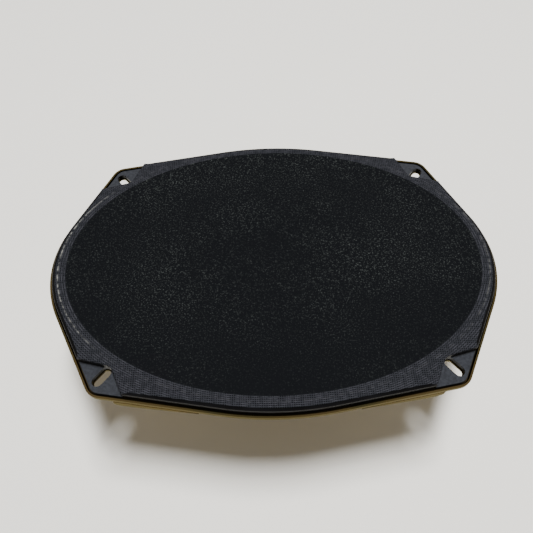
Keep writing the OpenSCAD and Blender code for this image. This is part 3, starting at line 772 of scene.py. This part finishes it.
# %% Finishes of the moving parts
rubber = worked("butyl_rubber_moulded", ("#191a1b", "#1d1e20", "#222426"), 9, 0.8, (0.5, 0.66),
                0.02, IOR=1.52)
paper = worked("paper_pulp_dyed", ("#121213", "#171718", "#222222"), 1.6, 0.35, (0.78, 0.95),
               0.06, IOR=1.5)
resin_cloth = worked("cotton_cloth_resin_dipped", ("#a97f3a", "#bd9450", "#cba766"), 6, 0.5,
                     (0.6, 0.85), 0.08, IOR=1.53)
print("finishes", rubber.name, paper.name, resin_cloth.name)

# %% Blend weights
def bend_between(piece, weight):
    """Works out each point's share of the cone's travel from the weight, and prints its range."""
    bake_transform(piece)
    points = np.empty(len(piece.data.vertices) * 3)
    piece.data.vertices.foreach_get("co", points)
    share = np.clip(weight(points.reshape(-1, 3) / MM), 0, 1)
    share = share * share * (3 - 2 * share)
    print(piece.name, "share of travel from", round(share.min(), 2), "to", round(share.max(), 2))

def along_oval(points, a, b):
    """How far each point lies outside an oval, measured on both half axes."""
    u = np.zeros(len(points))
    for _ in range(12):
        f = np.hypot(points[:, 0] / (a + u), points[:, 1] / (b + u))
        u += (f - 1) * (a + b + 2 * u) / 2
    return u

# %% Surround and cone
RIM = (float(high("cone")[0]) - 1.0, float(high("cone")[1]) - 1.0)
ROLL = np.linspace(0, pi, 19)
under = [(-2.5, 0.0), (0.5, 0.0)] + [(4.5 - 4.0 * cos(a), 3.4 * sin(a)) for a in ROLL[1:-1]]
under += [(8.5, 0.0), (13.9, 0.0)]
over = [(13.9, 0.6), (9.3, 0.6)] + [(4.5 - 4.6 * cos(a), max(0.6, 4.0 * sin(a))) for a in ROLL[-2:0:-1]]
over += [(-0.3, 0.6), (-2.5, 0.6)]
surround = mesh_piece("rubber_surround",
                      *skin([oval_row(RIM[0] + u, RIM[1] + u, FLANGE + h) for u, h in under + over],
                            closed=True), rubber)
surround = crease(outward(surround), 45)
bend_between(surround, lambda p: (8.5 - along_oval(p, *RIM)) / 8.0)
hand_over(surround, None, "rubber_edge", "surround")

def cone_line(k):
    """Half axes and height of the cone's upper face. k runs from the neck, 0, to the rim, 1."""
    a = np.array([13.05, 13.05, 48.9]) * (1 - k) + np.array([91.7, 57.7, FLANGE]) * k
    hang = 4 * k * (1 - k)
    ridge = 0.12 * sin(k * 2 * pi * 9) * min(1, 8 * k, 8 * (1 - k))
    return a + np.array([0, 0, ridge - 1.6 * hang])

steps = np.linspace(0, 1, 40)
upper = [oval_row(*cone_line(k)) for k in steps]
lower = [oval_row(*(cone_line(k) + np.array([0.45, 0.45, -0.75]))) for k in steps[::-1]]
rim = [oval_row(RIM[0] + 1, RIM[1] + 1, FLANGE), oval_row(RIM[0] + 1, RIM[1] + 1, FLANGE - 0.8)]
neck = [oval_row(13.95, 13.95, 46.5), oval_row(13.05, 13.05, 46.5)]
cone = outward(mesh_piece("paper_cone", *skin(upper + rim + lower + neck, closed=True), paper))
cone = crease(cone, 50)
hand_over(cone, "woofer", "paper_cone", "cone")

# %% Spider
def spider_line(u):
    r = 17 + 27.5 * u
    return r, 43.5 - 1.25 * u - 1.6 * sin(2 * pi * 5 * u)

waves = [(12.97, 43.5)] + [spider_line(u) for u in np.linspace(0, 1, 91)]
waves += [(46.5, 42.02), (51.0, 42.02)]
rows = [oval_row(r, r, z) for r, z in waves] + [oval_row(r, r, z + 0.5) for r, z in waves[::-1]]
spider = crease(outward(mesh_piece("cloth_spider", *skin([row[::4] for row in rows], closed=True),
                                   resin_cloth)), 50)
bend_between(spider, lambda p: (46 - np.hypot(p[:, 0], p[:, 1])) / 31)
hand_over(spider, None, "spider_cloth", "spider")

# %% [markdown]
# ## Wire: the coil and the leads
# The voice coil is one layer of enamelled copper wire, so it is made as one: a spiral curve,
# with a round wire swept along it by Geometry Nodes. The leads to the cone are braids of
# tinned copper strands, which flex millions of times without breaking. Another tree sweeps
# several strands along a bent path while it twists them round each other. With one strand and
# no twist, the same tree makes the insulated wires that go on to the tweeter.

# %% Finishes of the wires
copper = worked("copper_wire_enamelled", ("#9c4f25", "#b5622e", "#c06c35"), 3, 0.5, (0.25, 0.35),
                0.0, Metallic=1.0, Coat_Weight=0.6, Coat_Roughness=0.15)
braid = worked("tinsel_braid_copper", ("#a56f3c", "#c08a52", "#cfa068"), 0.8, 0.3, (0.35, 0.5),
               0.01, Metallic=1.0)
red_pvc = worked("pvc_insulation_red", ("#8e1f1c", "#9c2622", "#a62c27"), 6, 0.5, (0.35, 0.45),
                 0.01, IOR=1.54)
black_pvc = worked("pvc_insulation_black", ("#141414", "#19191a", "#1e1e1f"), 6, 0.5,
                   (0.35, 0.45), 0.01, IOR=1.54)
print("finishes", copper.name, braid.name, red_pvc.name, black_pvc.name)

# %% Geometry Nodes trees for wire
def node_tree(name, **inputs):
    """A tree with named inputs. Each value is a socket type and its default."""
    tree = bpy.data.node_groups.new(name, "GeometryNodeTree")
    tree.interface.new_socket("Geometry", in_out="INPUT", socket_type="NodeSocketGeometry")
    tree.interface.new_socket("Geometry", in_out="OUTPUT", socket_type="NodeSocketGeometry")
    for key, (kind, value) in inputs.items():
        socket = tree.interface.new_socket(key.replace("_", " "), in_out="INPUT",
                                           socket_type="NodeSocket" + kind)
        if value is not None:
            socket.default_value = value
    return tree, add(tree, "NodeGroupInput").outputs

def close_tree(tree, source, finish_socket):
    real = add(tree, "GeometryNodeRealizeInstances", links={"Geometry": source})
    painted = add(tree, "GeometryNodeSetMaterial",
                  links={"Geometry": real.outputs["Geometry"], "Material": finish_socket})
    add(tree, "NodeGroupOutput", links={"Geometry": painted.outputs["Geometry"]})

def grown(name, tree, points, edges, **values):
    """A plain mesh that a tree grows from some points and edges in millimetres."""
    data = bpy.data.meshes.new(name)
    data.from_pydata([tuple(v * MM for v in p) for p in points], edges, [])
    made = bpy.data.objects.new(name, data)
    bpy.context.scene.collection.objects.link(made)
    step = made.modifiers.new("grow", "NODES")
    step.node_group = tree
    sockets = {s.name: s.identifier for s in tree.interface.items_tree
               if getattr(s, "in_out", "") == "INPUT"}
    for key, value in values.items():
        step[sockets[key.replace("_", " ")]] = value
    return outward(applied(made))

strand_tree, inp = node_tree("twisted_strands", Strands=("Int", 6), Lay_Radius=("Float", 0.0004),
                             Strand_Radius=("Float", 0.0002), Twists=("Float", 9.0),
                             Finish=("Material", None))
path = add(strand_tree, "GeometryNodeMeshToCurve", links={"Mesh": inp["Geometry"]})
smooth = add(strand_tree, "GeometryNodeResampleCurve", {"Count": 90}, {"Curve": path.outputs[0]})
factor = add(strand_tree, "GeometryNodeSplineParameter")
angle = add(strand_tree, "ShaderNodeMath", {1: 2 * pi}, {0: inp["Twists"]}, operation="MULTIPLY")
tilt = add(strand_tree, "ShaderNodeMath",
           links={0: factor.outputs["Factor"], 1: angle.outputs[0]}, operation="MULTIPLY")
twisted = add(strand_tree, "GeometryNodeSetCurveTilt",
              links={"Curve": smooth.outputs[0], "Tilt": tilt.outputs[0]})
number = add(strand_tree, "GeometryNodeInputIndex")
each = add(strand_tree, "ShaderNodeMath", links={0: number.outputs[0], 1: inp["Strands"]},
           operation="DIVIDE")
round_by = add(strand_tree, "ShaderNodeMath", {1: 2 * pi}, {0: each.outputs[0]},
               operation="MULTIPLY")
sides = []
for how in ("COSINE", "SINE"):
    part = add(strand_tree, "ShaderNodeMath", links={0: round_by.outputs[0]}, operation=how)
    sides.append(add(strand_tree, "ShaderNodeMath",
                     links={0: part.outputs[0], 1: inp["Lay Radius"]}, operation="MULTIPLY"))
spot = add(strand_tree, "ShaderNodeCombineXYZ",
           links={"X": sides[0].outputs[0], "Y": sides[1].outputs[0]})
spots = add(strand_tree, "GeometryNodePoints",
            links={"Count": inp["Strands"], "Position": spot.outputs[0]})
wire = add(strand_tree, "GeometryNodeCurvePrimitiveCircle", {"Resolution": 8},
           {"Radius": inp["Strand Radius"]})
bundle = add(strand_tree, "GeometryNodeInstanceOnPoints",
             links={"Points": spots.outputs[0], "Instance": wire.outputs["Curve"]})
flat = add(strand_tree, "GeometryNodeRealizeInstances", links={"Geometry": bundle.outputs[0]})
swept = add(strand_tree, "GeometryNodeCurveToMesh", {"Fill Caps": True},
            {"Curve": twisted.outputs[0], "Profile Curve": flat.outputs[0]})
close_tree(strand_tree, swept.outputs[0], inp["Finish"])

coil_tree, inp = node_tree("wound_layer", Turns=("Float", 30.0), Radius=("Float", 0.013),
                           Length=("Float", 0.012), Wire_Radius=("Float", 0.0002),
                           Finish=("Material", None))
spiral = add(coil_tree, "GeometryNodeCurveSpiral", {"Resolution": 40},
             {"Rotations": inp["Turns"], "Start Radius": inp["Radius"],
              "End Radius": inp["Radius"], "Height": inp["Length"]})
wire = add(coil_tree, "GeometryNodeCurvePrimitiveCircle", {"Resolution": 6},
           {"Radius": inp["Wire Radius"]})
swept = add(coil_tree, "GeometryNodeCurveToMesh", {"Fill Caps": True},
            {"Curve": spiral.outputs[0], "Profile Curve": wire.outputs["Curve"]})
close_tree(coil_tree, swept.outputs[0], inp["Finish"])
print("trees", strand_tree.name, coil_tree.name)

# %% Grow the coil and the leads
coil_low, coil_high = low("coil_winding")[2], high("coil_winding")[2]
turns = 32
coil = grown("wound_coil", coil_tree, [(0, 0, 0)], [], Turns=float(turns), Radius=0.01315,
             Length=float(coil_high - coil_low - 0.4) * MM, Wire_Radius=0.00019, Finish=copper)
coil.data.transform(Matrix.Translation((0, 0, float(coil_low + 0.2) * MM)))
coil = crease(coil, 60)
hand_over(coil, "woofer", "copper_wire", "coil_winding")

def arc_path(a, b, rise, y, count=40):
    """Points of a flat arc from a to b, given as x and z, that stands off by the rise."""
    a, b = np.array(a, float), np.array(b, float)
    half = np.linalg.norm(b - a) / 2
    big = (half ** 2 + rise ** 2) / (2 * rise)
    along = (b - a) / (2 * half)
    side = np.array([along[1], -along[0]])
    middle = (a + b) / 2 - side * (big - rise)
    sweep = 2 * np.arcsin(min(1, half / big))
    start = np.arctan2(*(a - middle)[::-1])
    turns = start + sweep * np.linspace(0, 1, count)
    return [(middle[0] + big * cos(t), y, middle[1] + big * sin(t)) for t in turns]

TAB_Y = 8.5
for sign, word, pvc, slot in ((1, "positive", red_pvc, "red_lead"),
                              (-1, "negative", black_pvc, "black_lead")):
    points = arc_path((74.5, 42.4), (38.6, 54.5), 5, sign * TAB_Y)
    links = [(k, k + 1) for k in range(len(points) - 1)]
    lead = grown("tinsel_lead_" + word, strand_tree, points, links, Strands=6, Lay_Radius=0.00036,
                 Strand_Radius=0.00023, Twists=11.0, Finish=braid)
    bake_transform(lead)
    hand_over(lead, None, "tinsel_braid", "tinsel_" + word)
    points = arc_path((37.2, 58.8), (12.6, 61.6), 3, sign * TAB_Y)
    wire = grown("pigtail_wire_" + word, strand_tree, points, links, Strands=1, Lay_Radius=0.0,
                 Strand_Radius=0.0005, Twists=0.0, Finish=pvc)
    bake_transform(wire)
    hand_over(wire, None, slot, "pigtail_" + word)

# %% [markdown]
# ## The tweeter's dome and edge
# The tweeter stands on a post over the middle of the cone. Its dome and edge are one piece of
# silk, doped with a soft resin. The dome moves and the edge bends, so they are two pieces
# here: a dome that rides on the tweeter and a half roll whose share of travel is only worked out.

# %% Silk dome and its edge
silk = worked("silk_cloth_doped", ("#2a2d32", "#33373d", "#3c4047"), 3, 0.35, (0.45, 0.6), 0.02,
              IOR=1.48, Sheen_Weight=0.3)
base, crown = float(low("tweeter_dome")[2]), float(high("tweeter_dome")[2])
DOME = 9.5
rise = crown - base - 0.3
ball = (DOME ** 2 + rise ** 2) / (2 * rise)
swing = np.linspace(0, asin(DOME / ball), 15)
shell = [(ball * sin(a), crown - ball * (1 - cos(a))) for a in swing]
shell += [(DOME, base)] + [((ball - 0.3) * sin(a), crown - ball + (ball - 0.3) * cos(a))
                           for a in swing[::-1]]
dome = crease(outward(mesh_piece(
    "silk_dome", *skin([oval_row(r, r, z)[::6] for r, z in shell]), silk)), 50)
hand_over(dome, "tweeter", "silk_dome", "tweeter_dome")
LAND, MIDDLE, ROLL_R = 16.5, (DOME + 13.4) / 2, (13.4 - DOME) / 2
inner = [(MIDDLE - (ROLL_R - 0.25) * cos(a), base + 1.4 * sin(a)) for a in ROLL]
outer = [(MIDDLE - (ROLL_R - 0.06) * cos(a), max(base + 0.25, base + 1.65 * sin(a)))
         for a in ROLL[::-1]]
half_roll = inner + [(LAND, base + 0.001), (LAND, base + 0.25)] + outer
roll = crease(outward(mesh_piece(
    "silk_edge", *skin([oval_row(r, r, z)[::6] for r, z in half_roll], closed=True), silk)), 50)
bend_between(roll, lambda p: (13.2 - np.hypot(p[:, 0], p[:, 1])) / (13.2 - DOME))
hand_over(roll, None, "silk_dome", "tweeter_edge")

# %% [markdown]
# ## Finishes of the parts that keep their CAD shape
# Turned, cast and pressed parts such as plates, rivets and tabs already have their right
# shape, so each gets only a finish: bright zinc on steel, sintered ferrite, laminated board,
# tin on brass, nickel on the small magnet, and plastic on the tweeter and the capacitor.

# %% Finishes by part
steel = worked("steel_zinc_plated", ("#a3a6a6", "#b4b6b4", "#c2c3bf"), 14, 0.5, (0.24, 0.38),
               0.01, Metallic=1.0)
ferrite = worked("ferrite_sintered_ground", ("#26272a", "#2e3033", "#393b3e"), 2.2, 0.4,
                 (0.6, 0.85), 0.03, IOR=2.3, Specular_IOR_Level=0.4)
board = worked("phenolic_paper_laminate", ("#4a2f18", "#5d3d20", "#6b4826"), 3, 0.4,
               (0.4, 0.6), 0.02, IOR=1.6)
tinned = worked("brass_tin_plated", ("#b5b4ad", "#c4c3bc", "#cfcec8"), 6, 0.5, (0.22, 0.34),
                0.006, Metallic=1.0)
nickel = worked("magnet_nickel_plated", ("#a09d94", "#b0ada4", "#bdbab1"), 5, 0.5, (0.16, 0.26),
                0.004, Metallic=1.0)
tube_paper = worked("coil_former_paper", ("#8a5f2c", "#a27437", "#b28445"), 2, 0.4, (0.6, 0.8),
                    0.02, IOR=1.5)
tweeter_plastic = worked("black_abs_grained", ("#1c1d20", "#222327", "#292a2e"), 8, 0.7,
                         (0.4, 0.55), 0.03, IOR=1.53)
sleeve = worked("polyester_film_blue", ("#234f8c", "#2b5b9c", "#3366a8"), 5, 0.6, (0.22, 0.34),
                0.005, IOR=1.57, Coat_Weight=0.3)
FINISHES = {
    "coil_former": tube_paper, "top_plate": steel, "magnet": ferrite, "yoke": steel,
    "basket_rivets": steel, "terminal_board": board, "terminal_rivet": steel,
    "positive_tab": tinned, "negative_tab": tinned, "lead_eyelets": tinned,
    "tweeter_post": tweeter_plastic, "post_screw": steel, "tweeter_housing": tweeter_plastic,
    "tweeter_pot": steel, "tweeter_magnet": nickel, "tweeter_top_plate": steel,
    "tweeter_coil": copper, "tweeter_bezel": tweeter_plastic, "capacitor": sleeve,
    "capacitor_leads": tinned}
for node, finish in FINISHES.items():
    carried = bpy.data.objects[node]
    carried.data.materials.clear()
    carried.data.materials.append(finish)
print(len(FINISHES), "CAD parts finished")
